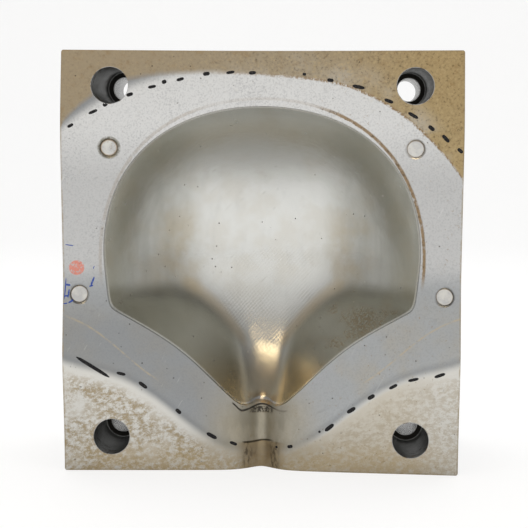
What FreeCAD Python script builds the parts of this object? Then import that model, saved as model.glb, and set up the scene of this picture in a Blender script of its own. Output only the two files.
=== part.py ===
import FreeCAD, Part
import os
from math import hypot, pi, sin, sqrt
from FreeCAD import Vector

# Injection mould half: one block of tool steel with a contoured parting face, a domed
# cavity that narrows to a neck, four counterbored screw holes and four dowel pins that
# are ground flush with the face.
# X runs right, Z up, and the parting face looks towards -Y. Depth is counted from the
# datum plane of the block's corners, and grows into the steel. All sizes are in mm.

# The block, and the extra stock in front of it that the parting face is cut from
block_width = 200.0
block_height = 213.0
block_depth = 90.0
corner_radius = 1.2
back_chamfer = 1.0
stock_in_front = 18.0

# The parting face: a wide trough that runs up the block, with a soft valley across it
# from which both halves come forward to a ridge. Run-outs and falls are slopes.
trough_sag = 14.0
valley_height = 97.0
valley_rounding = 6.0
upper_run_out = 0.077
lower_run_out = 0.150

# The upper ridge, and how fast the face falls away above it
upper_ridge_height = 205.5
upper_ridge_drop = 31.5
upper_ridge_power = 2.6
upper_fall = 0.150
ridge_rounding = 9.0

# The lower ridge is an ogee from the neck to the sides. The corner pads under it start
# deep at the neck and reach the datum plane near the sides.
lower_ridge_start = 7.5
lower_ridge_rise = 0.55
lower_ridge_swing = 3.7
lower_ridge_wave = 86.0
lower_fall = 0.130
pad_depth_at_neck = 4.6
pad_neck_rounding = 4.0
pad_end = 95.0
pad_blend = 1.6

# The gully that carries the face through the neck
gully_depth = 11.5
gully_half_width = 9.0
gully_top = 90.0
gully_full = 55.0

# The dome of the cavity. Past the rim its wall runs on straight.
dome_height = 107.5
dome_depth = 50.0
dome_radius = 92.9
dome_rim_radius = 79.9
dome_squareness = 0.10
dome_straight_from = 81.9

# The cavity's lower rim: level at the neck, then a climb that eases off outwards
neck_end = 30.4
rim_climb = 1.05
rim_climb_start = 10.5
rim_climb_rounding = 5.0
rim_easing = 0.52
rim_easing_start = 42.0
rim_easing_rounding = 16.0

# The flank walls that rise from that rim, and the floor of the neck between them
flank_draft = 1.6
flank_blend_at_rim = 2.0
flank_blend_growth = 0.4
flank_blend_limit = 12.0
neck_floor_slope = 0.30
neck_floor_bow = 0.004
neck_floor_radius = 25.0
neck_blend = 1.5
cavity_valley_rounding = 25.0

# Four socket screws clamp the block from the parting face
screw_spacing_x = 152.0
screw_bottom = 17.5
screw_top = 195.5
screw_head_bore = 18.2
screw_shank_bore = 12.0
head_seat_top_pair = 56.0
head_seat_bottom_pair = 42.0
drill_run_out = 1.0

# The dowel pins
pin_diameter = 8.0
pin_length = 24.0
pin_mouth_diameter = 10.4
pin_mouth_depth = 0.7
pin_places = {
    "upper_left": (-76.5, 164.5),
    "upper_right": (76.5, 164.5),
    "lower_left": (-92.0, 90.7),
    "lower_right": (92.0, 90.7),
}

# The two freeform surfaces: spacing of the points they pass through, how far they reach
# past what they cut, and how far forward the cut goes
face_pitch = 5.0
cavity_pitch = 4.0
margin = 6.0
reach = 120.0


def hinge(t, rounding):
    """Zero below t = 0 and t above it, rounded at the corner."""
    return 0.5 * (t + sqrt(t * t + rounding * rounding))


def deeper(a, b, blend):
    """The deeper of two depths, with a blend where they cross."""
    return 0.5 * (a + b + sqrt((a - b) ** 2 + blend * blend))


def shallower(a, b, blend):
    """The shallower of two depths, with a blend where they cross."""
    return 0.5 * (a + b - sqrt((a - b) ** 2 + blend * blend))


def gully(x, z):
    """Extra depth of the gully through the neck, which fades out up the face."""
    fade = min(max((gully_top - z) / (gully_top - gully_full), 0.0), 1.0)
    fade = fade * fade * (3.0 - 2.0 * fade)
    return fade * gully_depth / (1.0 + (x / gully_half_width) ** 2)


def land_depth(x, z, rounding):
    """Depth of the sealing land round the cavity: trough, valley and gully."""
    above = z - valley_height
    mean_slope = 0.5 * (upper_run_out + lower_run_out)
    half_difference = 0.5 * (upper_run_out - lower_run_out)
    forward = mean_slope * sqrt(above * above + rounding * rounding) + half_difference * above
    trough = trough_sag * (1.0 - (2.0 * x / block_width) ** 2)
    return trough - forward + gully(x, z)


def upper_ridge(x):
    """Height of the upper ridge at x."""
    outwards = 2.0 * abs(x) / block_width
    return upper_ridge_height - upper_ridge_drop * outwards ** upper_ridge_power


def lower_ridge(x):
    """Height of the lower ridge at x: a rising line with a gentle S in it."""
    out = sqrt(x * x + gully_half_width * gully_half_width)
    swing = lower_ridge_swing * sin(2.0 * pi * abs(x) / lower_ridge_wave)
    return lower_ridge_start + lower_ridge_rise * out - swing


def parting_depth(x, z):
    """Depth of the parting face at x, z."""
    land = land_depth(x, z, valley_rounding)
    above_ridge = hinge(z - upper_ridge(x), ridge_rounding)
    upper = land + (upper_run_out + upper_fall) * above_ridge
    below_ridge = lower_ridge(x) - z
    slope = land + (lower_run_out + lower_fall) * below_ridge
    pad = pad_depth_at_neck * (1.0 - hypot(x, pad_neck_rounding) / pad_end) + gully(x, 0.0)
    lower = shallower(pad, slope, pad_blend)
    return deeper(upper, lower, pad_blend)


def flank_rim(x):
    """Height of the cavity's lower rim at x: level at the neck, then an ogee outwards."""
    climb = rim_climb * hinge(abs(x) - rim_climb_start, rim_climb_rounding)
    easing = rim_easing * hinge(abs(x) - rim_easing_start, rim_easing_rounding)
    return neck_end + climb - easing


def dome(x, z):
    """Depth of the dome, a sphere that grows a little square towards its rim."""
    up = z - dome_height
    out = hypot(x, up)
    if out < 1e-6:
        return dome_depth
    squareness = dome_squareness * (x * up) ** 2 / (out * dome_rim_radius) ** 2
    radius = out / (1.0 + squareness)
    inside = min(radius, dome_straight_from)
    rise = dome_radius - sqrt(dome_radius ** 2 - inside ** 2)
    wall_slope = dome_straight_from / sqrt(dome_radius ** 2 - dome_straight_from ** 2)
    return dome_depth - rise - wall_slope * (radius - inside)


def cavity_depth(x, z):
    """Depth of the moulding surface at x, z."""
    land = land_depth(x, z, cavity_valley_rounding)
    up = z - neck_end
    neck = land + neck_floor_slope * up - neck_floor_bow * up * up
    neck -= x * x / (2.0 * neck_floor_radius)
    floor = deeper(dome(x, z), neck, neck_blend)
    step = 0.5
    steepness = (flank_rim(x + step) - flank_rim(x - step)) / (2.0 * step)
    inside = (z - flank_rim(x)) / hypot(1.0, steepness)
    blend = flank_blend_at_rim + flank_blend_growth * max(floor - land, 0.0)
    return shallower(floor, land + flank_draft * inside, min(blend, flank_blend_limit))


def even_steps(low, high, pitch):
    """Evenly spaced values from low to high, close to the pitch asked for."""
    count = round((high - low) / pitch)
    return [low + (high - low) * i / count for i in range(count + 1)]


def room_in_front(depth, x_values, z_values):
    """Solid of everything in front of a freeform surface given by its depth."""
    points = [[Vector(x, depth(x, z), z) for z in z_values] for x in x_values]
    surface = Part.BSplineSurface()
    surface.interpolate(points)
    return surface.toShape().extrude(Vector(0, -reach, 0))


def local_normal(x, z):
    """Direction out of the parting face at x, z."""
    step = 1.0
    slope_x = (parting_depth(x + step, z) - parting_depth(x - step, z)) / (2.0 * step)
    slope_z = (parting_depth(x, z + step) - parting_depth(x, z - step)) / (2.0 * step)
    return Vector(slope_x, -1.0, slope_z).normalize()


def blank():
    """The squared block, reaching far enough forward for the face to be cut from it."""
    body = Part.makeBox(block_width, stock_in_front + block_depth, block_height,
                        Vector(-block_width / 2, -stock_in_front, 0))
    long_edges = [e for e in body.Edges if abs(e.tangentAt(e.FirstParameter).y) > 0.99]
    body = body.makeFillet(corner_radius, long_edges)
    back = [e for e in body.Edges
            if all(abs(v.Point.y - block_depth) < 1e-6 for v in e.Vertexes)]
    return body.makeChamfer(back_chamfer, back)


def screw_hole(x, z, seat):
    """Counterbored hole for a socket screw, from the parting face to the back."""
    start = Vector(x, -stock_in_front, z)
    into = Vector(0, 1, 0)
    head = Part.makeCylinder(screw_head_bore / 2, stock_in_front + seat, start, into)
    shank = Part.makeCylinder(screw_shank_bore / 2,
                              stock_in_front + block_depth + drill_run_out, start, into)
    return head.fuse(shank)


def pin_bore(x, z):
    """Blind hole for a dowel pin, with a small bevelled mouth square to the face."""
    face = parting_depth(x, z)
    bore = Part.makeCylinder(pin_diameter / 2, pin_length + margin,
                             Vector(x, face - margin, z), Vector(0, 1, 0))
    out = local_normal(x, z)
    widening = (pin_mouth_diameter - pin_diameter) / 2 / pin_mouth_depth
    point_depth = pin_mouth_diameter / 2 / widening
    above = 1.0
    bevel = Part.makeCone(0, pin_mouth_diameter / 2 + widening * above,
                          point_depth + above, Vector(x, face, z) - out * point_depth, out)
    return bore.fuse(bevel)


def dowel_pin(x, z, in_front):
    """A dowel pin pressed into its hole and ground flush with the parting face."""
    face = parting_depth(x, z)
    pin = Part.makeCylinder(pin_diameter / 2, pin_length + margin,
                            Vector(x, face - margin, z), Vector(0, 1, 0))
    return pin.cut(in_front)


half = block_width / 2 + margin
face_x = even_steps(-half, half, face_pitch)
face_z = even_steps(-margin, block_height + margin, face_pitch)
in_front_of_face = room_in_front(parting_depth, face_x, face_z)

cavity_half = dome_rim_radius + 2.0 * margin
cavity_x = even_steps(-cavity_half, cavity_half, cavity_pitch)
cavity_z = even_steps(neck_end - 2.0 * margin, dome_height + cavity_half, cavity_pitch)
in_front_of_cavity = room_in_front(cavity_depth, cavity_x, cavity_z)

mould = blank().cut(in_front_of_face).cut(in_front_of_cavity)
for side in (-1, 1):
    for height, seat in ((screw_top, head_seat_top_pair), (screw_bottom, head_seat_bottom_pair)):
        mould = mould.cut(screw_hole(side * screw_spacing_x / 2, height, seat))
for x, z in pin_places.values():
    mould = mould.cut(pin_bore(x, z))

# The origin is under the middle of the whole block
box = mould.optimalBoundingBox()
centring = Vector(0, -(box.YMin + box.YMax) / 2, 0)

nodes = {"mould_block": mould.Solids[0]}
for place, (x, z) in pin_places.items():
    nodes["dowel_pin_" + place] = dowel_pin(x, z, in_front_of_face)

os.makedirs("parts", exist_ok=True)
for name, shape in nodes.items():
    shape = shape.copy()
    shape.translate(centring)
    shape.exportStep("parts/" + name + ".step")
    print(name, "valid", shape.isValid(), "solids", len(shape.Solids),
          "volume", round(shape.Volume / 1000.0, 2), "cm3")
print("face datum at y =", round(centring.y, 3), "box", box)
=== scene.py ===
"""Finish, marks, floor, light and camera for a steel injection mould half."""

import math
import random

import bmesh
import bpy
from mathutils import Matrix, Vector
from mathutils.bvhtree import BVHTree


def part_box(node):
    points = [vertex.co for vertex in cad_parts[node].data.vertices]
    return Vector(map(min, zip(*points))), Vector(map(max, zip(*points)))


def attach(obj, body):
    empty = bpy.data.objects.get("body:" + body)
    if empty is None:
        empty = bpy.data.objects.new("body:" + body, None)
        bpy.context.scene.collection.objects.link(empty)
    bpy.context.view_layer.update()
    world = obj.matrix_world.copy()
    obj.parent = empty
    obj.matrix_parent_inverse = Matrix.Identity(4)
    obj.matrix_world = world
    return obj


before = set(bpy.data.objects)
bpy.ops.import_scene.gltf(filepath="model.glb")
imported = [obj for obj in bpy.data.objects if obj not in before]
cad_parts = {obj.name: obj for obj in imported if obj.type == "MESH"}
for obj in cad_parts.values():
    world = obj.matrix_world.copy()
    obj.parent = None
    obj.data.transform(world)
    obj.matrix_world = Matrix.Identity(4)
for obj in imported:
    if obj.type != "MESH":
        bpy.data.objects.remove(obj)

bl_info = {
    "name": "Mould Half Finish",
    "version": (1, 0, 0),
    "blender": (4, 5, 0),
    "location": "View3D > Sidebar > Mould Half",
    "description": "Finishes a steel injection mould half and sets it on a pale floor",
    "category": "Object",
}

MM = 0.001

# The block's own form, in mm. z is up, x is across and depth runs in from the face.
BLOCK_LOW, BLOCK_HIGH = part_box("mould_block")
BLOCK_DEPTH = 90.0
HALF_WIDTH = BLOCK_HIGH.x / MM
HEIGHT = BLOCK_HIGH.z / MM
FACE_Y = BLOCK_HIGH.y / MM - BLOCK_DEPTH
TROUGH_SAG = 14.0
VALLEY_HEIGHT, VALLEY_ROUNDING = 97.0, 6.0
UPPER_RUN_OUT, LOWER_RUN_OUT = 0.077, 0.150
GULLY_DEPTH, GULLY_HALF_WIDTH = 11.5, 9.0
GULLY_FULL, GULLY_TOP = 55.0, 90.0
DOME_HEIGHT, RIM_RADIUS, RIM_SQUARENESS = 107.5, 79.9, 0.10
NECK_END = 31.3
RIDGE_ROUNDING = 9.0
LOWER_RIDGE_START, LOWER_RIDGE_RISE = 7.5, 0.55
LOWER_RIDGE_SWING, LOWER_RIDGE_WAVE = 3.7, 86.0
SCREW_X, SCREW_LOW, SCREW_HIGH = 76.0, 17.5, 195.5
SCREW_HEAD_RADIUS, SCREW_SHANK_RADIUS, HEAD_SEAT_DEPTH = 9.1, 6.0, 60.0
PIN_RADIUS = 4.0
PIN_PLACES = {
    "dowel_pin_upper_left": (-76.5, 164.5),
    "dowel_pin_upper_right": (76.5, 164.5),
    "dowel_pin_lower_left": (-92.0, 90.7),
    "dowel_pin_lower_right": (92.0, 90.7),
}

# Where the finishes and stains change on the face, in mm.
LAND_TOP_LEFT, LAND_DROP_LEFT = 202.0, 27.0
LAND_TOP_RIGHT, LAND_DROP_RIGHT = 200.5, 51.0
LAND_MARGIN = 1.5
SHADOW_TOP, SHADOW_DROP = 203.0, 31.0
CREASE_TOP, CREASE_DROP = 96.0, 37.0
CREASE_REACH, CREASE_RUN = 48.0, 41.0
HEAT_BAND_X = 46.0
FLANK_RUST = (52.0, 75.0)
MILLING_MIDDLE = (4.0, 86.0)
GULLY_STAIN = (0.0, 21.0)
STEP_HEIGHT = 14.0
YELLOW_START, YELLOW_RISE = 17.0, 0.62
RED_BLOT, BLOT_RADIUS = (-93.3, 104.0), 4.0
STEEL_RELIEF, INK_RELIEF = 0.00010, 0.00002



class Bands:
    """Where a finish comes in, in mm: none at the first value and all at the second."""

    left_to_right = (-20.0, 20.0)

    # The land, by height, with painted light above and painted shade below, and painted shade on
    # its left side.
    cool_land, bright_land, lower_land = (108.0, 92.0), (145.0, 180.0), (98.0, 70.0)
    painted_shade_left = (20.0, -40.0)

    # The cavity, by height, and out from its middle.
    crown, foot, neck_tint = (142.0, 166.0), (102.0, 84.0), (60.0, 44.0)
    sides = (26.0, 52.0)
    heat_width, heat_foot, heat_head = (16.0, 4.0), (82.0, 92.0), (140.0, 118.0)
    flank_start, flank_depth = (8.0, 18.0), (-1.0, 7.0)
    shoulder_width, shoulder_start, shoulder_end = (6.5, 0.5), (7.0, 12.0), (46.0, 36.0)
    right_flank, right_flank_top, rust_reach = (18.0, 40.0), (92.0, 74.0), (11.0, 3.0)
    milling_reach = (38.0, 14.0)

    # The neck and the gully.
    gully_reach, gully_foot, gully_sides = (38.0, 6.0), (5.0, 15.0), (15.0, 6.0)
    step_line, step_left, step_right = (0.6, 0.2), (-10.0, -8.0), (7.0, 3.0)
    orange_top, orange_foot, orange_sides = (40.0, 34.0), (31.5, 33.0), (12.0, 6.0)
    crest_line, crest_rise = (0.60, 0.25), (-9.5, -15.0)
    crest_left, crest_right, crest_fade = (-15.0, -14.0), (14.0, 12.0), (9.0, 4.0)
    chips_foot, chips_top, chips_sides = (28.0, 29.0), (31.6, 31.0), (6.5, 4.5)

    # The upper corners.
    shadow, upper_left, golden_right = (-1.5, 5.0), (0.0, -30.0), (10.0, 95.0)
    soft_edge, sharp_edge, fringe = (-1.5, 2.5), (-0.4, 0.9), (18.0, 2.0)
    speckled_right = (-70.0, 40.0)
    border_width, border_right = (1.1, 0.25), (-40.0, 50.0)

    # The lower corners.
    ridge_width, ridge_side, ridge_start = (5.0, 1.0), (3.0, -1.0), (12.0, 30.0)
    pad_edge, pad_top, dull_pad = (-1.5, 4.0), (70.0, 62.0), (105.0, 60.0)
    dull_pad_edge, blotched_edge, blotched_left = (1.0, 4.0), (3.0, 11.0), (50.0, -40.0)
    golden_foot, golden_middle = (22.0, 2.0), (100.0, 70.0)

    # Stains and holes.
    rim_rust_inner, rim_rust_outer = (1.7, 2.1), (3.7, 3.0)
    rim_rust_foot, rim_rust_head, rim_rust_right = (92.0, 104.0), (187.0, 180.0), (-60.0, 30.0)
    yellow_width, yellow_out = (0.8, 0.2), (50.0, 56.0)
    freckled_right = (-40.0, 70.0)
    hole_mouth = (20.0, 6.0)


# The marker line above the cavity: height in the middle, drop, reach to the side, power.
MARKER_LEFT = (202.5, 27.0, 95.0, 2.4)
MARKER_RIGHT = (202.0, 38.0, 98.0, 2.3)
MARKER_LEAN = 0.045
MARK_LIFT = 0.00005

# The stage, in metres and watts.
FLOOR_REACH, BACKDROP_START, BACKDROP_BEND, BACKDROP_HEIGHT = 4.0, 1.4, 1.0, 3.0
CAMERA_AIM_X, CAMERA_AIM_Z = 0.0015, 0.1067
BLOCK_MIDDLE = (0.0, 0.0, 0.1)
WHITE, LAMP_GOLD = (1.0, 1.0, 1.0), (1.0, 0.76, 0.44)
# Each lamp: name, place, aim, size, power, tone, and whether the steel mirrors it.
LAMPS = (
    ("top_lamp", (0.0, 0.55, 1.6), BLOCK_MIDDLE, (1.8, 1.2), 22.0, WHITE, False),
    ("left_lamp", (-1.5, -0.9, 0.9), BLOCK_MIDDLE, (0.8, 1.2), 9.0, WHITE, False),
    ("right_lamp", (1.5, -0.9, 0.9), BLOCK_MIDDLE, (0.8, 1.2), 9.0, WHITE, False),
    ("warm_lamp", (-0.15, -0.51, 0.79), (0.0, 0.0, 0.06), (0.58, 0.09), 0.78, LAMP_GOLD, True),
)


# ---------------------------------------------------------------- settings

def colour(name, description, value):
    """A colour the user may change."""
    return bpy.props.FloatVectorProperty(
        name=name, description=description, default=value, size=3,
        min=0.0, max=1.0, subtype="COLOR")


class MouldHalfColours(bpy.types.PropertyGroup):
    """Colours of the finishes."""

    steel: colour("Steel", "Bare ground steel of the sealing land", (0.58, 0.58, 0.575))
    # Painted light on the upper land and a painted highlight on the burnished rim edge; also the
    # bright scratches in the land.
    highlight_and_scratch_steel: colour("Bright steel", "Land above the cavity", (0.76, 0.76, 0.75))
    # Painted shade: the land below the valley is darker and bluish.
    bluish_shade_steel: colour("Cool steel", "Duller, bluish land below the valley", (0.43, 0.445, 0.455))
    # Painted shade next to the ridges, on the lower left land and low in the cavity; also darkens
    # pores and streaks.
    shadow_steel: colour("Shadow steel", "Dull blue-grey steel next to the ridges",
                         (0.24, 0.25, 0.26))
    pores: colour("Pores", "Fine pores in the land", (0.30, 0.30, 0.31))
    rubbed: colour("Rubbed", "Dull rub marks on the land", (0.22, 0.22, 0.22))
    cavity: colour("Cavity", "Polished steel of the cavity", (0.73, 0.735, 0.71))
    # Tarnish with painted shade: darkens the cavity's sides and its upper wall.
    tarnish_and_shade: colour("Tarnish", "Dulled steel at the cavity's sides", (0.37, 0.37, 0.32))
    warm: colour("Heat tint", "Straw tint where the steel has been hot", (0.50, 0.42, 0.28))
    # Olive film, also used as painted shade on the cavity's flanks.
    olive_film_and_shade: colour("Olive tint", "Dark olive film on the flanks", (0.24, 0.23, 0.18))
    # Golden stains, also a painted highlight along the creases in the cavity.
    straw_stain_and_glint: colour("Straw", "Golden stain towards the edges", (0.60, 0.47, 0.27))
    oxide: colour("Oxide", "Brown oxide on the upper left corner", (0.40, 0.33, 0.23))
    golden_oxide: colour("Golden oxide", "Oxide on the upper right corner", (0.45, 0.34, 0.18))
    grey_oxide: colour("Grey oxide", "Thin oxide next to the land", (0.53, 0.49, 0.42))
    pads: colour("Lower pads", "Pale steel of the lower corners", (0.74, 0.73, 0.69))
    blotch: colour("Blotches", "Brown blotches on the lower pads", (0.40, 0.31, 0.18))
    brown: colour("Brown", "Brown film in the gully and along worn edges", (0.36, 0.27, 0.15))
    rust: colour("Rust", "Light rust in the stains", (0.30, 0.19, 0.08))
    neck_rust: colour("Neck rust", "Orange rust at the neck", (0.46, 0.26, 0.07))
    dirt: colour("Dirt", "Grease and dirt in holes and pits", (0.030, 0.026, 0.020))
    hole_steel: colour("Hole steel", "Turned wall of a screw hole", (0.46, 0.465, 0.46))
    milled: colour("Milled steel", "Milled sides and back", (0.47, 0.45, 0.40))
    milled_film: colour("Film", "Thin oxide in the milling marks", (0.36, 0.33, 0.27))
    marker: colour("Marker", "Black felt marker", (0.012, 0.012, 0.014))
    worn_marker: colour("Worn marker", "Marker where it is thin", (0.05, 0.048, 0.045))
    blue_ink: colour("Blue ink", "Blue ink strokes round a pin", (0.04, 0.08, 0.33))
    worn_ink: colour("Worn ink", "Blue ink where it is thin", (0.14, 0.19, 0.42))
    red_ink: colour("Red ink", "Red ink blot", (0.72, 0.17, 0.10))
    floor: colour("Floor", "Pale floor and backdrop", (0.92, 0.92, 0.915))


class MouldHalfSizes(bpy.types.PropertyGroup):
    """Sizes of the marks and the place of the camera."""

    stroke_width: bpy.props.FloatProperty(
        name="Stroke width", description="Width of a marker dash",
        default=0.0017, unit="LENGTH")
    camera_distance: bpy.props.FloatProperty(
        name="Camera distance", description="From the camera to the middle of the face",
        default=0.682, unit="LENGTH")
    camera_turn: bpy.props.FloatProperty(
        name="Camera turn", description="Turn of the camera to the right of the block",
        default=math.radians(2.41), subtype="ANGLE")
    camera_rise: bpy.props.FloatProperty(
        name="Camera rise", description="How far the camera looks down",
        default=math.radians(5.31), subtype="ANGLE")
    camera_roll: bpy.props.FloatProperty(
        name="Camera roll", description="Roll of the camera",
        default=math.radians(0.25), subtype="ANGLE")
    lens: bpy.props.FloatProperty(
        name="Lens", description="Focal length on a 36 mm sensor", default=92.7)


# ---------------------------------------------------------------- node maths

class Field:
    """A number that varies over a surface, so that node maths reads as plain maths."""

    def __init__(self, tree, socket):
        self.tree = tree
        self.socket = socket

    def _math(self, operation, *others):
        node = self.tree.nodes.new("ShaderNodeMath")
        node.operation = operation
        self.tree.links.new(self.socket, node.inputs[0])
        for slot, other in enumerate(others, start=1):
            if isinstance(other, Field):
                self.tree.links.new(other.socket, node.inputs[slot])
            else:
                node.inputs[slot].default_value = other
        return Field(self.tree, node.outputs[0])

    def __add__(self, other):
        return self._math("ADD", other)

    def __sub__(self, other):
        return self._math("SUBTRACT", other)

    def __mul__(self, other):
        return self._math("MULTIPLY", other)

    def __truediv__(self, other):
        return self._math("DIVIDE", other)

    __radd__ = __add__
    __rmul__ = __mul__

    def __neg__(self):
        return self * -1.0

    def __rsub__(self, other):
        return (-self) + other

    def __rtruediv__(self, other):
        return self.power(-1.0) * other

    def power(self, exponent):
        return self._math("POWER", exponent)

    def root(self):
        return self._math("SQRT")

    def size(self):
        return self._math("ABSOLUTE")

    def sine(self):
        return self._math("SINE")

    def largest(self, other):
        return self._math("MAXIMUM", other)

    def ramp(self, start, end, low=0.0, high=1.0):
        """Runs smoothly from low to high as this field goes from start to end."""
        node = self.tree.nodes.new("ShaderNodeMapRange")
        node.interpolation_type = "SMOOTHSTEP"
        self.tree.links.new(self.socket, node.inputs["Value"])
        values = {"From Min": start, "From Max": end, "To Min": low, "To Max": high}
        if start > end:
            values = {"From Min": end, "From Max": start, "To Min": high, "To Max": low}
        for name, value in values.items():
            node.inputs[name].default_value = value
        return Field(self.tree, node.outputs["Result"])


class Finish:
    """One procedural material, with the patterns and blends that it is made of."""

    def __init__(self, name):
        self.material = bpy.data.materials.new(name)
        self.material.use_nodes = True
        self.tree = self.material.node_tree
        self.shader = self.tree.nodes["Principled BSDF"]
        coordinates = self.tree.nodes.new("ShaderNodeTexCoord")
        scale = self.tree.nodes.new("ShaderNodeMapping")
        scale.inputs["Scale"].default_value = (1 / MM, 1 / MM, 1 / MM)
        scale.inputs["Location"].default_value = (0.0, -FACE_Y, 0.0)
        self.tree.links.new(coordinates.outputs["Object"], scale.inputs["Vector"])
        self.place = scale.outputs["Vector"]
        split = self.tree.nodes.new("ShaderNodeSeparateXYZ")
        self.tree.links.new(self.place, split.inputs[0])
        self.x = Field(self.tree, split.outputs["X"])
        self.depth = Field(self.tree, split.outputs["Y"])
        self.z = Field(self.tree, split.outputs["Z"])

    def stretched(self, stretch, turn=0.0):
        """The place in mm, turned about the depth axis and drawn out along each axis."""
        node = self.tree.nodes.new("ShaderNodeMapping")
        node.vector_type = "TEXTURE"
        node.inputs["Scale"].default_value = stretch
        node.inputs["Rotation"].default_value = (0.0, turn, 0.0)
        self.tree.links.new(self.place, node.inputs["Vector"])
        return node.outputs["Vector"]

    def noise(self, size, detail=3.0, roughness=0.5, stretch=(1, 1, 1), turn=0.0, seed=0.0):
        """Cloudy pattern whose patches are about size mm across, from 0 to 1."""
        node = self.tree.nodes.new("ShaderNodeTexNoise")
        node.noise_dimensions = "4D"
        node.inputs["W"].default_value = seed
        node.inputs["Scale"].default_value = 1.0 / size
        node.inputs["Detail"].default_value = detail
        node.inputs["Roughness"].default_value = roughness
        self.tree.links.new(self.stretched(stretch, turn), node.inputs["Vector"])
        return Field(self.tree, node.outputs["Fac"])

    def cells(self, size):
        """Distance to the nearest of scattered points, in units of size mm."""
        node = self.tree.nodes.new("ShaderNodeTexVoronoi")
        node.inputs["Scale"].default_value = 1.0 / size
        self.tree.links.new(self.place, node.inputs["Vector"])
        return Field(self.tree, node.outputs["Distance"])

    def blend(self, first, second, amount):
        """Mixes two colours, each a triple or a socket, by a field."""
        node = self.tree.nodes.new("ShaderNodeMix")
        node.data_type = "RGBA"
        self.tree.links.new(amount.socket, node.inputs["Factor"])
        for slot, value in ((6, first), (7, second)):
            if isinstance(value, bpy.types.NodeSocket):
                self.tree.links.new(value, node.inputs[slot])
            else:
                node.inputs[slot].default_value = (*value, 1.0)
        return node.outputs[2]

    def start(self, base, roughness, metal=1.0):
        """Sets the bare surface that cover() works on."""
        self.base = base
        self.roughness = self.number(0.0) + roughness
        self.metal = self.number(metal)
        self.height = self.number(0.0)

    def number(self, value):
        """A plain number as a field."""
        node = self.tree.nodes.new("ShaderNodeValue")
        node.outputs[0].default_value = value
        return Field(self.tree, node.outputs[0])

    def cover(self, colour, amount, roughness=None, metal=None, height=None):
        """Lays a coat over the surface, as thick as amount says."""
        self.base = self.blend(self.base, colour, amount)
        if roughness is not None:
            self.roughness = self.roughness * (1.0 - amount) + amount * roughness
        if metal is not None:
            self.metal = self.metal * (1.0 - amount) + amount * metal
        if height is not None:
            self.height = self.height + amount * height

    def finished(self, bump_distance):
        """Connects the surface to the shader and returns the material."""
        self.tree.links.new(self.base, self.shader.inputs["Base Color"])
        self.tree.links.new(self.metal.socket, self.shader.inputs["Metallic"])
        self.tree.links.new(self.roughness.socket, self.shader.inputs["Roughness"])
        bump = self.tree.nodes.new("ShaderNodeBump")
        bump.inputs["Strength"].default_value = 1.0
        bump.inputs["Distance"].default_value = bump_distance
        self.tree.links.new(self.height.socket, bump.inputs["Height"])
        self.tree.links.new(bump.outputs["Normal"], self.shader.inputs["Normal"])
        return self.material


# ---------------------------------------------------------------- the block's own form

def cavity_masks(f):
    """The cavity, where the steel lies deeper than the land would, and its burnished edge, which
    also gets a painted highlight.
    """
    above = f.z - VALLEY_HEIGHT
    spread = 0.5 * (LOWER_RUN_OUT + UPPER_RUN_OUT)
    lean = 0.5 * (LOWER_RUN_OUT - UPPER_RUN_OUT)
    forward = (above * above + VALLEY_ROUNDING ** 2).root() * spread - above * lean
    trough = TROUGH_SAG - TROUGH_SAG * (f.x * f.x) / HALF_WIDTH ** 2
    gully = GULLY_DEPTH / ((f.x * f.x) / GULLY_HALF_WIDTH ** 2 + 1.0)
    gully = gully * f.z.ramp(GULLY_FULL, GULLY_TOP, 1.0, 0.0)
    excess = f.depth - (trough - forward + gully)
    near = rim_distance(f).ramp(2.4, 1.6) * f.z.ramp(NECK_END - 0.3, NECK_END + 1.2)
    edge = excess.ramp(0.60, 0.80) * excess.ramp(1.8, 1.2)
    return excess.ramp(0.8, 1.4) * near, edge * near


def rim_distance(f):
    """Distance outside the dome's rim, for the upper part of the cavity."""
    up = f.z - DOME_HEIGHT
    out = (f.x * f.x + up * up).root()
    square = (f.x * up / (out * RIM_RADIUS)).power(2.0) * RIM_SQUARENESS
    return out / (square + 1.0) - RIM_RADIUS


def above_land(f, wobble):
    """Distance above the upper edge of the clean land."""
    reach = f.x.size() / HALF_WIDTH
    left = LAND_TOP_LEFT - reach.power(5.0) * LAND_DROP_LEFT
    right = LAND_TOP_RIGHT - reach.power(2.7) * LAND_DROP_RIGHT
    side = f.x.ramp(*Bands.left_to_right)
    return f.z - (left * (1.0 - side) + right * side) + wobble


def below_land(f, wobble):
    """Distance below the lower edge of the clean land."""
    out = (f.x * f.x + RIDGE_ROUNDING ** 2).root()
    swing = (f.x.size() * (2.0 * math.pi / LOWER_RIDGE_WAVE)).sine() * LOWER_RIDGE_SWING
    ridge = out * LOWER_RIDGE_RISE + LOWER_RIDGE_START - swing
    return ridge - f.z - LAND_MARGIN + wobble


def from_axis(f, x, z):
    """Distance from an axis that runs into the face at x, z."""
    across = f.x - x
    up = f.z - z
    return (across * across + up * up).root()


def from_screws(f):
    """Distance from the axis of the nearest screw hole."""
    across = f.x.size() - SCREW_X
    middle = 0.5 * (SCREW_LOW + SCREW_HIGH)
    up = (f.z - middle).size() - 0.5 * (SCREW_HIGH - SCREW_LOW)
    return (across * across + up * up).root()


def outer_skin(f):
    """One on the four sides and the back of the block."""
    sides = f.x.size().ramp(HALF_WIDTH - 0.25, HALF_WIDTH - 0.05)
    middle = 0.5 * HEIGHT
    ends = (f.z - middle).size().ramp(middle - 0.2, middle - 0.05)
    back = f.depth.ramp(BLOCK_DEPTH - 1.0, BLOCK_DEPTH - 0.8)
    return sides.largest(ends).largest(back)


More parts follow.
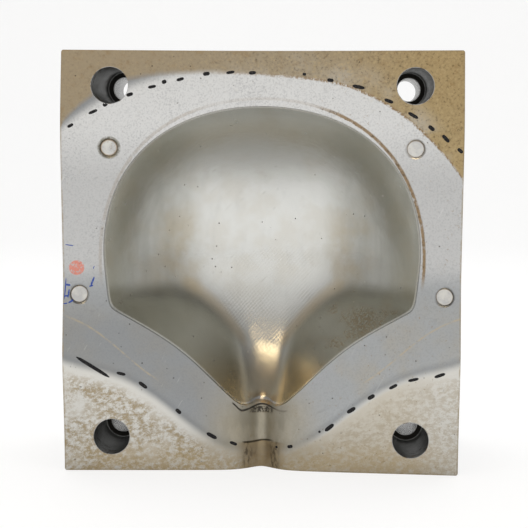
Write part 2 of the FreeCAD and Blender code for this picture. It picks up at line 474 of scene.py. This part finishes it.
def finish_land(f, colours, patches, mottle):
    """The ground sealing land: painted light above, painted bluish shade below the valley."""
    fine = f.noise(0.8, 2.0, 0.5, stretch=(16.0, 1.0, 1.0), turn=0.25, seed=2.0)
    scratches = f.noise(1.6, 2.0, 0.6, stretch=(1.0, 1.0, 20.0), turn=0.5, seed=1.0)
    pores = f.noise(0.9, 3.0, 0.6, seed=17.0)
    rubbed = f.noise(3.0, 4.0, 0.65, stretch=(3.5, 1.0, 1.0), turn=-0.4, seed=31.0)
    # Painted shade on the land below the valley and painted light on the land above the cavity.
    base = f.blend(colours.steel, colours.bluish_shade_steel, f.z.ramp(*Bands.cool_land))
    base = f.blend(base, colours.highlight_and_scratch_steel, f.z.ramp(*Bands.bright_land))
    f.start(base, patches * 0.10 + fine * 0.10 + 0.24)
    f.cover(colours.warm, mottle.ramp(0.58, 0.80) * 0.28)
    lower = f.z.ramp(*Bands.lower_land)
    f.cover(colours.warm, patches.ramp(0.42, 0.64) * lower * 0.25)
    # Painted shade on the lower left of the land.
    f.cover(colours.shadow_steel, f.x.ramp(*Bands.painted_shade_left) * lower * 0.53)
    f.cover(colours.shadow_steel, pores.ramp(0.44, 0.66) * 0.20)
    f.cover(colours.pores, (patches * 0.5 + pores * 0.5).ramp(0.52, 0.68) * 0.22)
    f.cover(colours.rubbed, rubbed.ramp(0.58, 0.72) * 0.16)
    f.cover(colours.highlight_and_scratch_steel, scratches.ramp(0.66, 0.74) * 0.30)
    f.height = f.height + scratches * 0.16 + fine * 0.14 + pores * 0.36


def finish_cavity(f, colours, inside, grain, wobble):
    """The polished cavity: straw tints and painted shade at the sides, painted shade on the crown
    and foot, brown flanks deepened with painted shade, a painted highlight along the creases,
    fine milling marks.
    """
    streaks = f.noise(7.0, 4.0, 0.6, stretch=(1.0, 1.0, 4.0), seed=7.0)
    clouds = f.noise(14.0, 3.0, 0.5, seed=21.0)
    gloss = streaks * 0.08 + grain * 0.05 + 0.17
    f.cover(colours.cavity, inside, roughness=gloss)
    # Darker towards the cavity's sides: tarnish with painted shade.
    side = f.x.size().ramp(*Bands.sides) * streaks.ramp(0.25, 0.70, 0.7, 1.0)
    f.cover(colours.tarnish_and_shade, inside * side * 0.60)
    f.cover(colours.warm, inside * clouds.ramp(0.42, 0.66) * 0.16)
    f.cover(colours.shadow_steel, inside * streaks.ramp(0.50, 0.75) * 0.08)
    band = (f.x.size() - HEAT_BAND_X).size().ramp(*Bands.heat_width)
    band = band * f.z.ramp(*Bands.heat_foot) * f.z.ramp(*Bands.heat_head)
    band = band * clouds.ramp(0.30, 0.65)
    f.cover(colours.warm, inside * band * 0.45)
    # Painted shade on the cavity's upper wall.
    f.cover(colours.tarnish_and_shade, inside * f.z.ramp(*Bands.crown) * 0.45)
    nearer = (CREASE_REACH - f.x.size()).largest(0.0) / CREASE_RUN
    crease = CREASE_TOP - nearer.power(1.6) * CREASE_DROP
    flank = (crease - f.z).ramp(*Bands.flank_depth) * f.x.size().ramp(*Bands.flank_start)
    # Olive film on the flanks, darkened further as painted shade.
    f.cover(colours.olive_film_and_shade, inside * flank * 0.72)
    # Painted shade low in the cavity, outside the flanks.
    f.cover(colours.shadow_steel, inside * f.z.ramp(*Bands.foot) * (1.0 - flank) * 0.24)
    # Painted highlight: a golden line along the crease between dome and flank.
    shoulder = (crease - f.z - 1.0).size().ramp(*Bands.shoulder_width)
    shoulder = shoulder * f.x.size().ramp(*Bands.shoulder_end)
    shoulder = inside * shoulder * f.x.size().ramp(*Bands.shoulder_start)
    f.cover(colours.straw_stain_and_glint, shoulder * 0.42)
    f.cover(colours.warm, inside * f.z.ramp(*Bands.neck_tint) * 0.60, roughness=0.28)
    brown = clouds.ramp(0.44, 0.62) * grain.ramp(0.40, 0.60)
    right = f.x.ramp(*Bands.right_flank) * f.z.ramp(*Bands.right_flank_top)
    f.cover(colours.rust, inside * brown * right * 0.5, roughness=0.40)
    patch = from_axis(f, *FLANK_RUST).ramp(*Bands.rust_reach) * grain.ramp(0.42, 0.55)
    f.cover(colours.rust, inside * patch * 0.4, roughness=0.5)
    lines = (f.x * 0.74 - f.z * 0.67 + wobble * 0.35) * 4.2
    cross = (f.x * 0.80 + f.z * 0.60 + wobble * 0.35) * 3.6
    zone = from_axis(f, *MILLING_MIDDLE).ramp(*Bands.milling_reach) * clouds.ramp(0.30, 0.55)
    marks = f.noise(1.2, 2.0, 0.5, stretch=(1.0, 1.0, 14.0), turn=0.80, seed=23.0)
    f.cover(colours.olive_film_and_shade, inside * marks.ramp(0.66, 0.76) * 0.22)
    waves = f.noise(16.0, 2.0, 0.4, seed=15.0)
    ripples = (lines.sine() * 0.14 + cross.sine() * 0.08) * zone
    f.height = f.height + inside * (waves * 0.5 + ripples + marks * 0.12)


def finish_neck(f, colours, clear, mottle, grain):
    """Dirt where the cavity ends at the neck, and the rough brown gully below the step."""
    gully = from_axis(f, *GULLY_STAIN).ramp(*Bands.gully_reach)
    gully = gully * f.z.ramp(*Bands.gully_foot) * clear
    strips = f.noise(5.0, 3.0, 0.6, stretch=(1.0, 1.0, 3.0), seed=25.0)
    f.cover(colours.warm, gully * 0.62, roughness=0.28)
    f.cover(colours.olive_film_and_shade, gully * strips.ramp(0.40, 0.62, 0.45, 1.0) * 0.50)
    below_step = f.z.ramp(STEP_HEIGHT + 0.6, STEP_HEIGHT - 0.6)
    below_step = below_step * f.x.size().ramp(*Bands.gully_sides)
    streaks = f.noise(1.6, 4.0, 0.7, stretch=(1.7, 1.0, 2.9), seed=27.0)
    f.cover(colours.brown, below_step * 0.75, roughness=0.36, height=-0.6)
    edges = (f.x.size() - 7.0).size().ramp(3.5, 1.0) * streaks.ramp(0.42, 0.60)
    f.cover(colours.dirt, below_step * edges * 0.65, roughness=0.5)
    step = (f.z - STEP_HEIGHT - (f.x * 0.35).sine() * 0.4).size().ramp(*Bands.step_line)
    step = step * f.x.ramp(*Bands.step_left) * f.x.ramp(*Bands.step_right)
    f.cover(colours.dirt, step * 0.85, height=-2.0)
    orange = mottle.ramp(0.45, 0.58) * f.z.ramp(*Bands.orange_top) * f.z.ramp(*Bands.orange_foot)
    f.cover(colours.neck_rust, orange * f.x.size().ramp(*Bands.orange_sides) * 0.65)
    crest = ((f.x - 0.4) * 0.314 + math.pi / 2).sine() * 1.2 + NECK_END
    crest = crest + f.x.ramp(*Bands.crest_rise) * 3.0
    line = (f.z - crest).size().ramp(*Bands.crest_line)
    line = line * f.x.ramp(*Bands.crest_left) * f.x.ramp(*Bands.crest_right)
    line = line * f.x.ramp(*Bands.crest_fade, 0.35, 1.0)
    f.cover(colours.dirt, line, roughness=0.6, metal=0.0, height=-3.0)
    chips = grain.ramp(0.45, 0.53) * f.x.size().ramp(*Bands.chips_sides)
    chips = chips * f.z.ramp(*Bands.chips_foot) * f.z.ramp(*Bands.chips_top)
    f.cover(colours.dirt, chips * 0.9, roughness=0.6, metal=0.2, height=-4.0)


def finish_upper_corners(f, colours, clear, patches, mottle, grain, wobble):
    """Brown oxide on the upper corners, with painted shade between it and the land."""
    # Painted shade: a dark grey band where the face falls away between the oxide and the land.
    reach = f.x.size() / HALF_WIDTH
    fall = f.z - SHADOW_TOP + reach.power(2.8) * SHADOW_DROP
    left = f.x.ramp(*Bands.upper_left)
    f.cover(colours.shadow_steel, clear * fall.ramp(*Bands.shadow) * (left * 0.75 + 0.10))
    edge = above_land(f, wobble * 0.45)
    soft = edge.ramp(*Bands.soft_edge) * left + edge.ramp(*Bands.sharp_edge) * (1.0 - left)
    above = soft * clear
    oxide = f.blend(colours.oxide, colours.golden_oxide, f.x.ramp(*Bands.golden_right))
    near = edge.ramp(*Bands.fringe) * patches.ramp(0.40, 0.65) * (1.0 - left) * 0.7
    oxide = f.blend(oxide, colours.grey_oxide, near)
    f.cover(oxide, above, roughness=mottle * 0.16 + 0.34, height=-0.6)
    f.cover(colours.rust, above * mottle.ramp(0.52, 0.70) * 0.40)
    rough = above * f.x.ramp(*Bands.speckled_right, 0.35, 1.0)
    f.cover(colours.straw_stain_and_glint, rough * grain.ramp(0.48, 0.36) * 0.45)
    f.cover(colours.dirt, rough * grain.ramp(0.53, 0.66) * 0.45)
    border = edge.size().ramp(*Bands.border_width) * grain.ramp(0.42, 0.54)
    border = clear * border * f.x.ramp(*Bands.border_right, 0.15, 1.0)
    f.cover(colours.rust, border * 0.9, roughness=0.5)


def finish_lower_corners(f, colours, clear, patches, mottle, grain, wobble):
    """Pale steel on the lower corners, blotched with rust and golden at the bottom edge, with
    painted shade along the ridge above them.
    """
    edge = below_land(f, wobble * 0.3)
    # Painted shade in a soft band along the ridge, on the land side.
    ridge = edge.size().ramp(*Bands.ridge_width) * edge.ramp(*Bands.ridge_side)
    ridge = ridge * f.x.size().ramp(*Bands.ridge_start)
    f.cover(colours.shadow_steel, clear * ridge * 0.45)
    below = edge.ramp(*Bands.pad_edge) * clear * f.z.ramp(*Bands.pad_top)
    f.cover(colours.pads, below, roughness=mottle * 0.16 + 0.30)
    side = f.x.ramp(*Bands.left_to_right)
    dull = side * f.x.ramp(*Bands.dull_pad) * edge.ramp(*Bands.dull_pad_edge)
    f.cover(colours.warm, below * dull * 0.40)
    blotch = f.noise(2.2, 5.0, 0.80, stretch=(1.5, 1.0, 1.0), turn=-0.2, seed=33.0)
    cluster = patches.ramp(0.28, 0.50) * edge.ramp(*Bands.blotched_edge)
    cluster = cluster * f.x.ramp(*Bands.blotched_left, 0.5, 1.0)
    stain = blotch.ramp(0.42, 0.58) * cluster
    f.cover(colours.blotch, below * stain * 0.85, roughness=0.45, height=-0.5)
    golden = f.z.ramp(*Bands.golden_foot) * blotch.ramp(0.30, 0.55)
    golden = golden * f.x.size().ramp(*Bands.golden_middle, 0.35, 1.0)
    f.cover(colours.straw_stain_and_glint, below * golden * 0.62)
    f.cover(colours.dirt, below * grain.ramp(0.58, 0.70) * cluster * 0.4)


def finish_stains(f, colours, clear, mottle, grain):
    """Rust band round the rim, yellow curves, specks and the red blot."""
    rim = rim_distance(f) + grain * 0.9 + mottle * 0.6
    band = rim.ramp(*Bands.rim_rust_inner) * rim.ramp(*Bands.rim_rust_outer)
    band = band * f.z.ramp(*Bands.rim_rust_foot) * f.z.ramp(*Bands.rim_rust_head, 0.2, 1.0)
    band = band * mottle.ramp(0.30, 0.46) * f.x.ramp(*Bands.rim_rust_right, 0.25, 1.0)
    f.cover(colours.rust, clear * band * 0.85, roughness=0.5, height=-0.8)
    f.cover(colours.dirt, clear * band * grain.ramp(0.50, 0.60) * 0.5)
    out = f.x.size()
    curve = out * YELLOW_RISE + YELLOW_START + (out * 0.09).sine() * 3.0
    yellow = (f.z - curve).size().ramp(*Bands.yellow_width) * out.ramp(*Bands.yellow_out)
    f.cover(colours.straw_stain_and_glint, clear * yellow * mottle.ramp(0.38, 0.58) * 0.45)
    specks = f.cells(5.5).ramp(0.085, 0.045) * mottle.ramp(0.42, 0.55)
    f.cover(colours.dirt, specks * 0.75, roughness=0.6, metal=0.2, height=-1.5)
    freckles = f.noise(1.5, 3.0, 0.6, seed=29.0).ramp(0.63, 0.71)
    f.cover(colours.rust, clear * freckles * f.x.ramp(*Bands.freckled_right, 0.2, 1.0) * 0.5)
    ring = from_axis(f, *PIN_PLACES["dowel_pin_upper_left"])
    ring = ring.ramp(PIN_RADIUS + 2.0, PIN_RADIUS + 1.2)
    f.cover(colours.olive_film_and_shade, ring * grain.ramp(0.30, 0.55) * 0.8, roughness=0.45)
    blot = from_axis(f, *RED_BLOT).ramp(BLOT_RADIUS, BLOT_RADIUS - 0.6)
    f.cover(colours.red_ink, blot * grain.ramp(0.38, 0.50) * 0.75, metal=0.3)


def finish_holes(f, colours, mottle, grain):
    """Screw holes: turned grey walls, pitted near the face, and a bright bored shank."""
    radius = from_screws(f)
    shank = radius.ramp(SCREW_SHANK_RADIUS + 0.5, SCREW_SHANK_RADIUS + 0.2)
    head = radius.ramp(SCREW_HEAD_RADIUS + 0.4, SCREW_HEAD_RADIUS + 0.05)
    hole = (head * f.depth.ramp(HEAD_SEAT_DEPTH + 6.0, HEAD_SEAT_DEPTH)).largest(shank)
    rings = ((f.depth + grain * 0.8) * 3.2).sine() * 0.5 + 0.5
    f.cover(colours.hole_steel, hole, roughness=0.38, metal=1.0, height=rings * 0.6)
    mouth = f.depth.ramp(*Bands.hole_mouth)
    f.cover(colours.dirt, hole * mottle.ramp(0.50, 0.60) * (mouth * 0.7 + 0.2), metal=0.5)
    f.cover(colours.rust, hole * mouth * mottle.ramp(0.56, 0.66) * 0.7, metal=0.5)
    # The seat at the foot of the head bore is made near black.
    seat = radius.ramp(SCREW_HEAD_RADIUS - 0.15, SCREW_HEAD_RADIUS - 0.5)
    f.cover(colours.dirt, hole * seat, roughness=0.5, metal=0.5)
    f.cover(colours.steel, shank, roughness=0.25, metal=1.0, height=rings)
    return hole


def finish_outside(f, colours, hole, patches, mottle):
    """Milled sides and back, lightly oxidised, with a dark worn edge round the face."""
    skin = outer_skin(f) * (1.0 - hole)
    milled = f.noise(2.5, 3.0, 0.6, stretch=(25.0, 1.0, 1.0), seed=13.0)
    sides = f.blend(colours.milled_film, colours.milled, milled)
    f.height = f.height * (1.0 - skin)
    f.cover(sides, skin, roughness=milled * 0.15 + 0.34, metal=1.0, height=milled * 0.6)
    rust = mottle.ramp(0.56, 0.74) * patches.ramp(0.45, 0.65)
    f.cover(colours.rust, skin * rust * 0.7, roughness=0.55)
    middle = 0.5 * HEIGHT
    worn = f.x.size().ramp(HALF_WIDTH - 1.0, HALF_WIDTH - 0.3)
    worn = worn.largest((f.z - middle).size().ramp(middle - 1.0, middle - 0.3))
    f.cover(colours.brown, (1.0 - skin) * worn * mottle.ramp(0.35, 0.60) * 0.7)


def steel_finish(colours):
    """The block: ground land, polished cavity, oxidised corners, stained pads, dirty holes."""
    f = Finish("tool_steel")
    patches = f.noise(22.0, 4.0, 0.55)
    grain = f.noise(1.3, 5.0, 0.65)
    mottle = f.noise(4.5, 6.0, 0.70, seed=3.0)
    wobble = (f.noise(9.0, 3.0, 0.5, seed=5.0) - 0.5) * 5.0
    inside, rim = cavity_masks(f)
    clear = 1.0 - inside
    finish_land(f, colours, patches, mottle)
    finish_cavity(f, colours, inside, grain, wobble)
    finish_upper_corners(f, colours, clear, patches, mottle, grain, wobble)
    finish_lower_corners(f, colours, clear, patches, mottle, grain, wobble)
    finish_neck(f, colours, clear, mottle, grain)
    # Painted highlight along the burnished rim of the cavity.
    f.cover(colours.highlight_and_scratch_steel, rim * 0.8, roughness=0.2)
    finish_stains(f, colours, clear, mottle, grain)
    hole = finish_holes(f, colours, mottle, grain)
    finish_outside(f, colours, hole, patches, mottle)
    return f.finished(STEEL_RELIEF)


def pin_finish(name, place, colours, pitted):
    """A dowel pin's ground end, with a thin dirty ring where it meets its hole."""
    f = Finish(name)
    radius = from_axis(f, *place)
    mottle = f.noise(1.1, 5.0, 0.7, seed=place[0])
    patches = f.noise(4.0, 3.0, seed=place[1])
    f.start(f.blend(colours.steel, colours.pads, patches.ramp(0.35, 0.65)), mottle * 0.2 + 0.26)
    f.height = f.height + mottle * 0.5
    f.cover(colours.brown, mottle.ramp(0.56, 0.68) * pitted * 0.8, roughness=0.45, height=-0.8)
    ring = radius.ramp(PIN_RADIUS - 0.2 - 0.6 * pitted, PIN_RADIUS - 0.02)
    ring = ring * (0.35 + 0.4 * pitted)
    f.cover(colours.rust, ring, roughness=0.5, height=-0.8)
    return f.finished(STEEL_RELIEF)


def ink_finish(name, ink, worn):
    """Dry ink, slightly uneven, worn thin in places."""
    f = Finish(name)
    cloud = f.noise(0.9, 4.0, 0.6)
    f.start(f.blend(ink, worn, cloud.ramp(0.45, 0.75)), cloud * 0.2 + 0.50, 0.0)
    f.shader.inputs["Specular IOR Level"].default_value = 0.15
    f.height = f.height + cloud
    return f.finished(INK_RELIEF)


# ---------------------------------------------------------------- pieces

def steel_tree():
    """The block's surface, for laying marks on it."""
    return BVHTree.FromObject(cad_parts["mould_block"], bpy.context.evaluated_depsgraph_get())


def laid_on_face(x, z, tree, lift):
    """The point of the parting face at x, z, in metres, lifted off it by lift."""
    start = Vector((x, BLOCK_LOW.y - 0.02, z))
    point, normal, _, _ = tree.ray_cast(start, Vector((0, 1, 0)))
    if point is None:
        raise RuntimeError("a mark lies off the face")
    if normal.y > 0:
        normal = -normal
    return point + normal * lift


def stroke(target, centre, turn, length, width, tree):
    """One marker dash with rounded ends, laid on the face."""
    made = bmesh.ops.create_grid(target, x_segments=10, y_segments=3, size=0.5)
    for vertex in made["verts"]:
        along, across = 2.0 * vertex.co.x, vertex.co.y
        taper = math.sqrt(max(0.06, 1.0 - abs(along) ** 4))
        flat = Matrix.Rotation(turn, 2) @ Vector((along * length / 2, across * width * taper))
        vertex.co = laid_on_face(centre[0] + flat.x, centre[1] + flat.y, tree, MARK_LIFT)


def upper_line(x):
    """Height of the marker line above the cavity at x, in mm."""
    top, drop, reach, power = MARKER_LEFT if x < 0 else MARKER_RIGHT
    return top - drop * (abs(x) / reach) ** power


def lower_line(x):
    """Height of the marker line below the cavity at x, in mm."""
    out = abs(x)
    swing = LOWER_RIDGE_SWING * math.sin(2.0 * math.pi * out / LOWER_RIDGE_WAVE)
    rise = LOWER_RIDGE_START + LOWER_RIDGE_RISE * math.hypot(x, RIDGE_ROUNDING) - swing
    return rise - (MARKER_LEAN * out if x > 0 else 0.0)


class MOULDHALF_OT_finish_block(bpy.types.Operator):
    """Give the steel block its finish"""

    bl_idname = "mould_half.finish_block"
    bl_label = "Finish the Block"

    def execute(self, context):
        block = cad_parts["mould_block"]
        block.data.materials.clear()
        block.data.materials.append(steel_finish(context.scene.mould_half_colours))
        return {"FINISHED"}


class MOULDHALF_OT_finish_pins(bpy.types.Operator):
    """Give the four dowel pins their finish"""

    bl_idname = "mould_half.finish_pins"
    bl_label = "Finish the Dowel Pins"

    def execute(self, context):
        colours = context.scene.mould_half_colours
        for name, place in PIN_PLACES.items():
            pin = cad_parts[name]
            pitted = 1.0 if name == "dowel_pin_upper_left" else 0.25
            pin.data.materials.clear()
            pin.data.materials.append(pin_finish(name + "_steel", place, colours, pitted))
        return {"FINISHED"}


def add_strokes(context, name, strokes, material):
    """A piece made of dashes, each given as centre, turn, length and width in mm."""
    tree = steel_tree()
    form = bmesh.new()
    for centre, turn, length, width in strokes:
        place = (centre[0] * MM, centre[1] * MM)
        stroke(form, place, turn, length * MM, width * MM, tree)
    mesh = bpy.data.meshes.new(name)
    form.to_mesh(mesh)
    form.free()
    mesh.materials.append(material)
    piece = bpy.data.objects.new(name, mesh)
    context.collection.objects.link(piece)
    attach(piece, "root")


class MOULDHALF_OT_marker_strokes(bpy.types.Operator):
    """Lay the black marker dashes that show where the land ends"""

    bl_idname = "mould_half.marker_strokes"
    bl_label = "Lay the Marker Strokes"

    above = ((-95, 3.2), (-84, 4.6), (-78, 2.6), (-66, 3.4), (-55, 4.0), (-49, 2.4),
             (-41, 3.8), (-28, 3.4), (-16, 4.2), (-5, 3.6), (21, 1.8), (34, 3.2), (48, 6.2),
             (63, 4.6), (75, 5.6), (84, 3.6), (91, 4.8), (98, 3.2))
    below = ((-71, 4.6), (-60, 5.2), (-42, 3.4), (-25, 5.8), (-14, 4.0), (8, 1.2), (15, 2.8),
             (30, 1.2), (35, 5.6), (46, 5.0), (56, 4.0), (67, 4.6), (77, 5.4), (90, 5.6))
    long_dash = ((-85.0, 53.7), -0.585, 19.5, 1.8)

    def execute(self, context):
        sizes = context.scene.mould_half_sizes
        chance = random.Random(4)
        strokes = [self.long_dash]
        for places, line in ((self.above, upper_line), (self.below, lower_line)):
            for x, length in places:
                turn = math.atan2(line(x + 1) - line(x - 1), 2.0) + chance.uniform(-0.15, 0.15)
                width = min(sizes.stroke_width / MM * chance.uniform(0.85, 1.2), length)
                centre = (x, line(x) + chance.uniform(-0.6, 0.6))
                strokes.append((centre, turn, length, width))
        colours = context.scene.mould_half_colours
        ink = ink_finish("black_marker", colours.marker, colours.worn_marker)
        add_strokes(context, "marker_strokes", strokes, ink)
        return {"FINISHED"}


class MOULDHALF_OT_ink_strokes(bpy.types.Operator):
    """Lay the blue ink strokes round the lower left pin"""

    bl_idname = "mould_half.ink_strokes"
    bl_label = "Lay the Ink Strokes"

    strokes = (
        ((-94.6, 87.9), 0.55, 6.5, 1.0),
        ((-98.9, 93.5), 1.50, 11.0, 0.5),
        ((-97.7, 95.3), -0.15, 2.6, 1.1),
        ((-97.3, 91.0), 1.45, 4.5, 0.7),
        ((-98.3, 89.8), 0.0, 2.2, 0.8),
        ((-85.6, 97.0), 1.20, 4.6, 0.9),
        ((-86.3, 94.6), 0.35, 2.0, 0.8),
        ((-85.0, 104.0), 1.20, 1.7, 0.4),
        ((-96.6, 115.5), -0.15, 4.0, 0.5),
        ((-98.7, 86.0), 0.15, 2.0, 0.6),
    )

    def execute(self, context):
        colours = context.scene.mould_half_colours
        material = ink_finish("blue_ink", colours.blue_ink, colours.worn_ink)
        add_strokes(context, "ink_strokes", self.strokes, material)
        return {"FINISHED"}


# ---------------------------------------------------------------- stage

def stage_material(name, tone, seen_glow, mirrored_glow):
    """Pale matt surface that looks near white and still takes a shadow. In the steel's
    reflections it glows, with a painted shadow near the block and painted shade to the sides.
    """
    material = bpy.data.materials.new(name)
    material.use_nodes = True
    tree = material.node_tree
    shader = tree.nodes["Principled BSDF"]
    shader.inputs["Base Color"].default_value = (*tone, 1.0)
    shader.inputs["Roughness"].default_value = 0.8
    shader.inputs["Specular IOR Level"].default_value = 0.0
    rays = tree.nodes.new("ShaderNodeLightPath")
    mirrored = Field(tree, rays.outputs["Is Glossy Ray"])
    mirrored = mirrored.largest(Field(tree, rays.outputs["Is Transmission Ray"]))
    seen = Field(tree, rays.outputs["Is Camera Ray"])
    coordinates = tree.nodes.new("ShaderNodeTexCoord")
    split = tree.nodes.new("ShaderNodeSeparateXYZ")
    tree.links.new(coordinates.outputs["Object"], split.inputs[0])
    across, forward = Field(tree, split.outputs["X"]), Field(tree, split.outputs["Y"])
    away = (across * across + forward * forward).root()
    # For mirrored rays: painted shade to the sides and a painted shadow close to the block.
    facing = (forward / away * -1.0).ramp(0.48, 0.90, 0.56, 1.0)
    shade = facing * away.ramp(0.05, 0.165, 0.42, 0.95)
    emission = tree.nodes.new("ShaderNodeEmission")
    emission.inputs["Color"].default_value = (1.0, 1.0, 1.0, 1.0)
    tree.links.new((seen * 1.02 + mirrored * shade).socket, emission.inputs["Strength"])
    mix = tree.nodes.new("ShaderNodeMixShader")
    glow = seen * seen_glow + mirrored * mirrored_glow
    tree.links.new(glow.socket, mix.inputs["Fac"])
    tree.links.new(shader.outputs[0], mix.inputs[1])
    tree.links.new(emission.outputs[0], mix.inputs[2])
    tree.links.new(mix.outputs[0], tree.nodes["Material Output"].inputs["Surface"])
    return material


def lay_floor(context, colours):
    """A floor that curves up into a backdrop behind the block."""
    form = bmesh.new()
    start = form.verts.new((-FLOOR_REACH, -FLOOR_REACH, 0.0))
    end = form.verts.new((FLOOR_REACH, -FLOOR_REACH, 0.0))
    edge = form.edges.new((start, end))
    grown = bmesh.ops.extrude_edge_only(form, edges=[edge])["geom"]
    verts = [g for g in grown if isinstance(g, bmesh.types.BMVert)]
    bmesh.ops.translate(form, vec=(0.0, FLOOR_REACH + BACKDROP_START, 0.0), verts=verts)
    edges = [g for g in grown if isinstance(g, bmesh.types.BMEdge)]
    centre = (0.0, BACKDROP_START, BACKDROP_BEND)
    curve = bmesh.ops.spin(form, geom=edges, cent=centre, axis=(1, 0, 0),
                           angle=math.pi / 2, steps=16, use_merge=False)["geom_last"]
    edges = [g for g in curve if isinstance(g, bmesh.types.BMEdge)]
    grown = bmesh.ops.extrude_edge_only(form, edges=edges)["geom"]
    verts = [g for g in grown if isinstance(g, bmesh.types.BMVert)]
    bmesh.ops.translate(form, vec=(0.0, 0.0, BACKDROP_HEIGHT), verts=verts)
    for face in form.faces:
        face.smooth = True
    mesh = bpy.data.meshes.new("floor")
    form.to_mesh(mesh)
    form.free()
    floor = bpy.data.objects.new("floor", mesh)
    context.collection.objects.link(floor)
    mesh.materials.append(
        stage_material("pale_floor", colours.floor, seen_glow=0.75, mirrored_glow=0.72))


def lamp(context, name, place, aim, size, power, tone, mirrored):
    """A soft rectangular lamp at place that faces aim. Mirrored lamps show in the steel."""
    light = bpy.data.lights.new(name, "AREA")
    light.shape = "RECTANGLE"
    light.size, light.size_y = size
    light.energy = power
    light.color = tone
    holder = bpy.data.objects.new(name, light)
    holder.location = place
    holder.rotation_euler = (Vector(aim) - Vector(place)).to_track_quat("-Z", "Y").to_euler()
    holder.visible_glossy = mirrored
    context.collection.objects.link(holder)


def set_world():
    """A studio round the block: bright behind the camera, dimmer to the sides and overhead."""
    world = bpy.data.worlds.new("studio")
    bpy.context.scene.world = world
    world.use_nodes = True
    tree = world.node_tree
    coordinates = tree.nodes.new("ShaderNodeTexCoord")
    split = tree.nodes.new("ShaderNodeSeparateXYZ")
    tree.links.new(coordinates.outputs["Generated"], split.inputs[0])
    across = Field(tree, split.outputs["X"])
    forward = Field(tree, split.outputs["Y"])
    up = Field(tree, split.outputs["Z"])
    level = (across * across + forward * forward).root()
    facing = (forward / level) * -1.0
    strength = up.ramp(0.30, 0.92, 0.88, 0.20) * facing.ramp(0.48, 0.90, 0.60, 1.0)
    background = tree.nodes["Background"]
    background.inputs["Color"].default_value = (1.0, 0.985, 0.96, 1.0)
    tree.links.new(strength.socket, background.inputs["Strength"])


def place_camera(context, sizes):
    """The camera looks at the middle of the parting face."""
    aim = Vector((CAMERA_AIM_X, FACE_Y * MM, CAMERA_AIM_Z))
    back = Vector((math.sin(sizes.camera_turn) * math.cos(sizes.camera_rise),
                   -math.cos(sizes.camera_turn) * math.cos(sizes.camera_rise),
                   math.sin(sizes.camera_rise)))
    data = bpy.data.cameras.new("camera")
    data.lens = sizes.lens
    data.sensor_width = 36.0
    data.clip_start = 0.01
    camera = bpy.data.objects.new("camera", data)
    camera.location = aim + back * sizes.camera_distance
    turned = back.to_track_quat("Z", "Y").to_matrix().to_4x4()
    roll = Matrix.Rotation(sizes.camera_roll, 4, "Z")
    camera.rotation_euler = (turned @ roll).to_euler()
    context.collection.objects.link(camera)
    context.scene.camera = camera


class MOULDHALF_OT_stage(bpy.types.Operator):
    """Lay the floor, hang the lamps and place the camera"""

    bl_idname = "mould_half.stage"
    bl_label = "Set the Stage"

    def execute(self, context):
        lay_floor(context, context.scene.mould_half_colours)
        for settings in LAMPS:
            lamp(context, *settings)
        set_world()
        place_camera(context, context.scene.mould_half_sizes)
        context.scene.view_settings.view_transform = "Standard"
        return {"FINISHED"}


class MOULDHALF_PT_panel(bpy.types.Panel):
    """Steps that finish the mould half"""

    bl_idname = "MOULDHALF_PT_panel"
    bl_label = "Mould Half"
    bl_space_type = "VIEW_3D"
    bl_region_type = "UI"
    bl_category = "Mould Half"

    def draw(self, context):
        for operator in OPERATORS:
            self.layout.operator(operator.bl_idname)
        for settings in (context.scene.mould_half_colours, context.scene.mould_half_sizes):
            for name in settings.bl_rna.properties.keys():
                if name not in ("rna_type", "name"):
                    self.layout.prop(settings, name)


OPERATORS = (
    MOULDHALF_OT_finish_block,
    MOULDHALF_OT_finish_pins,
    MOULDHALF_OT_marker_strokes,
    MOULDHALF_OT_ink_strokes,
    MOULDHALF_OT_stage,
)
CLASSES = (MouldHalfColours, MouldHalfSizes, *OPERATORS, MOULDHALF_PT_panel)


def register():
    """Registers the classes and the settings."""
    for cls in CLASSES:
        bpy.utils.register_class(cls)
    bpy.types.Scene.mould_half_colours = bpy.props.PointerProperty(type=MouldHalfColours)
    bpy.types.Scene.mould_half_sizes = bpy.props.PointerProperty(type=MouldHalfSizes)


def unregister():
    """Removes the settings and the classes."""
    del bpy.types.Scene.mould_half_sizes
    del bpy.types.Scene.mould_half_colours
    for cls in reversed(CLASSES):
        bpy.utils.unregister_class(cls)


def main():
    """Runs every step in order."""
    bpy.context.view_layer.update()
    register()
    bpy.ops.mould_half.finish_block()
    bpy.ops.mould_half.finish_pins()
    bpy.ops.mould_half.marker_strokes()
    bpy.ops.mould_half.ink_strokes()
    bpy.ops.mould_half.stage()


if __name__ == "__main__":
    main()
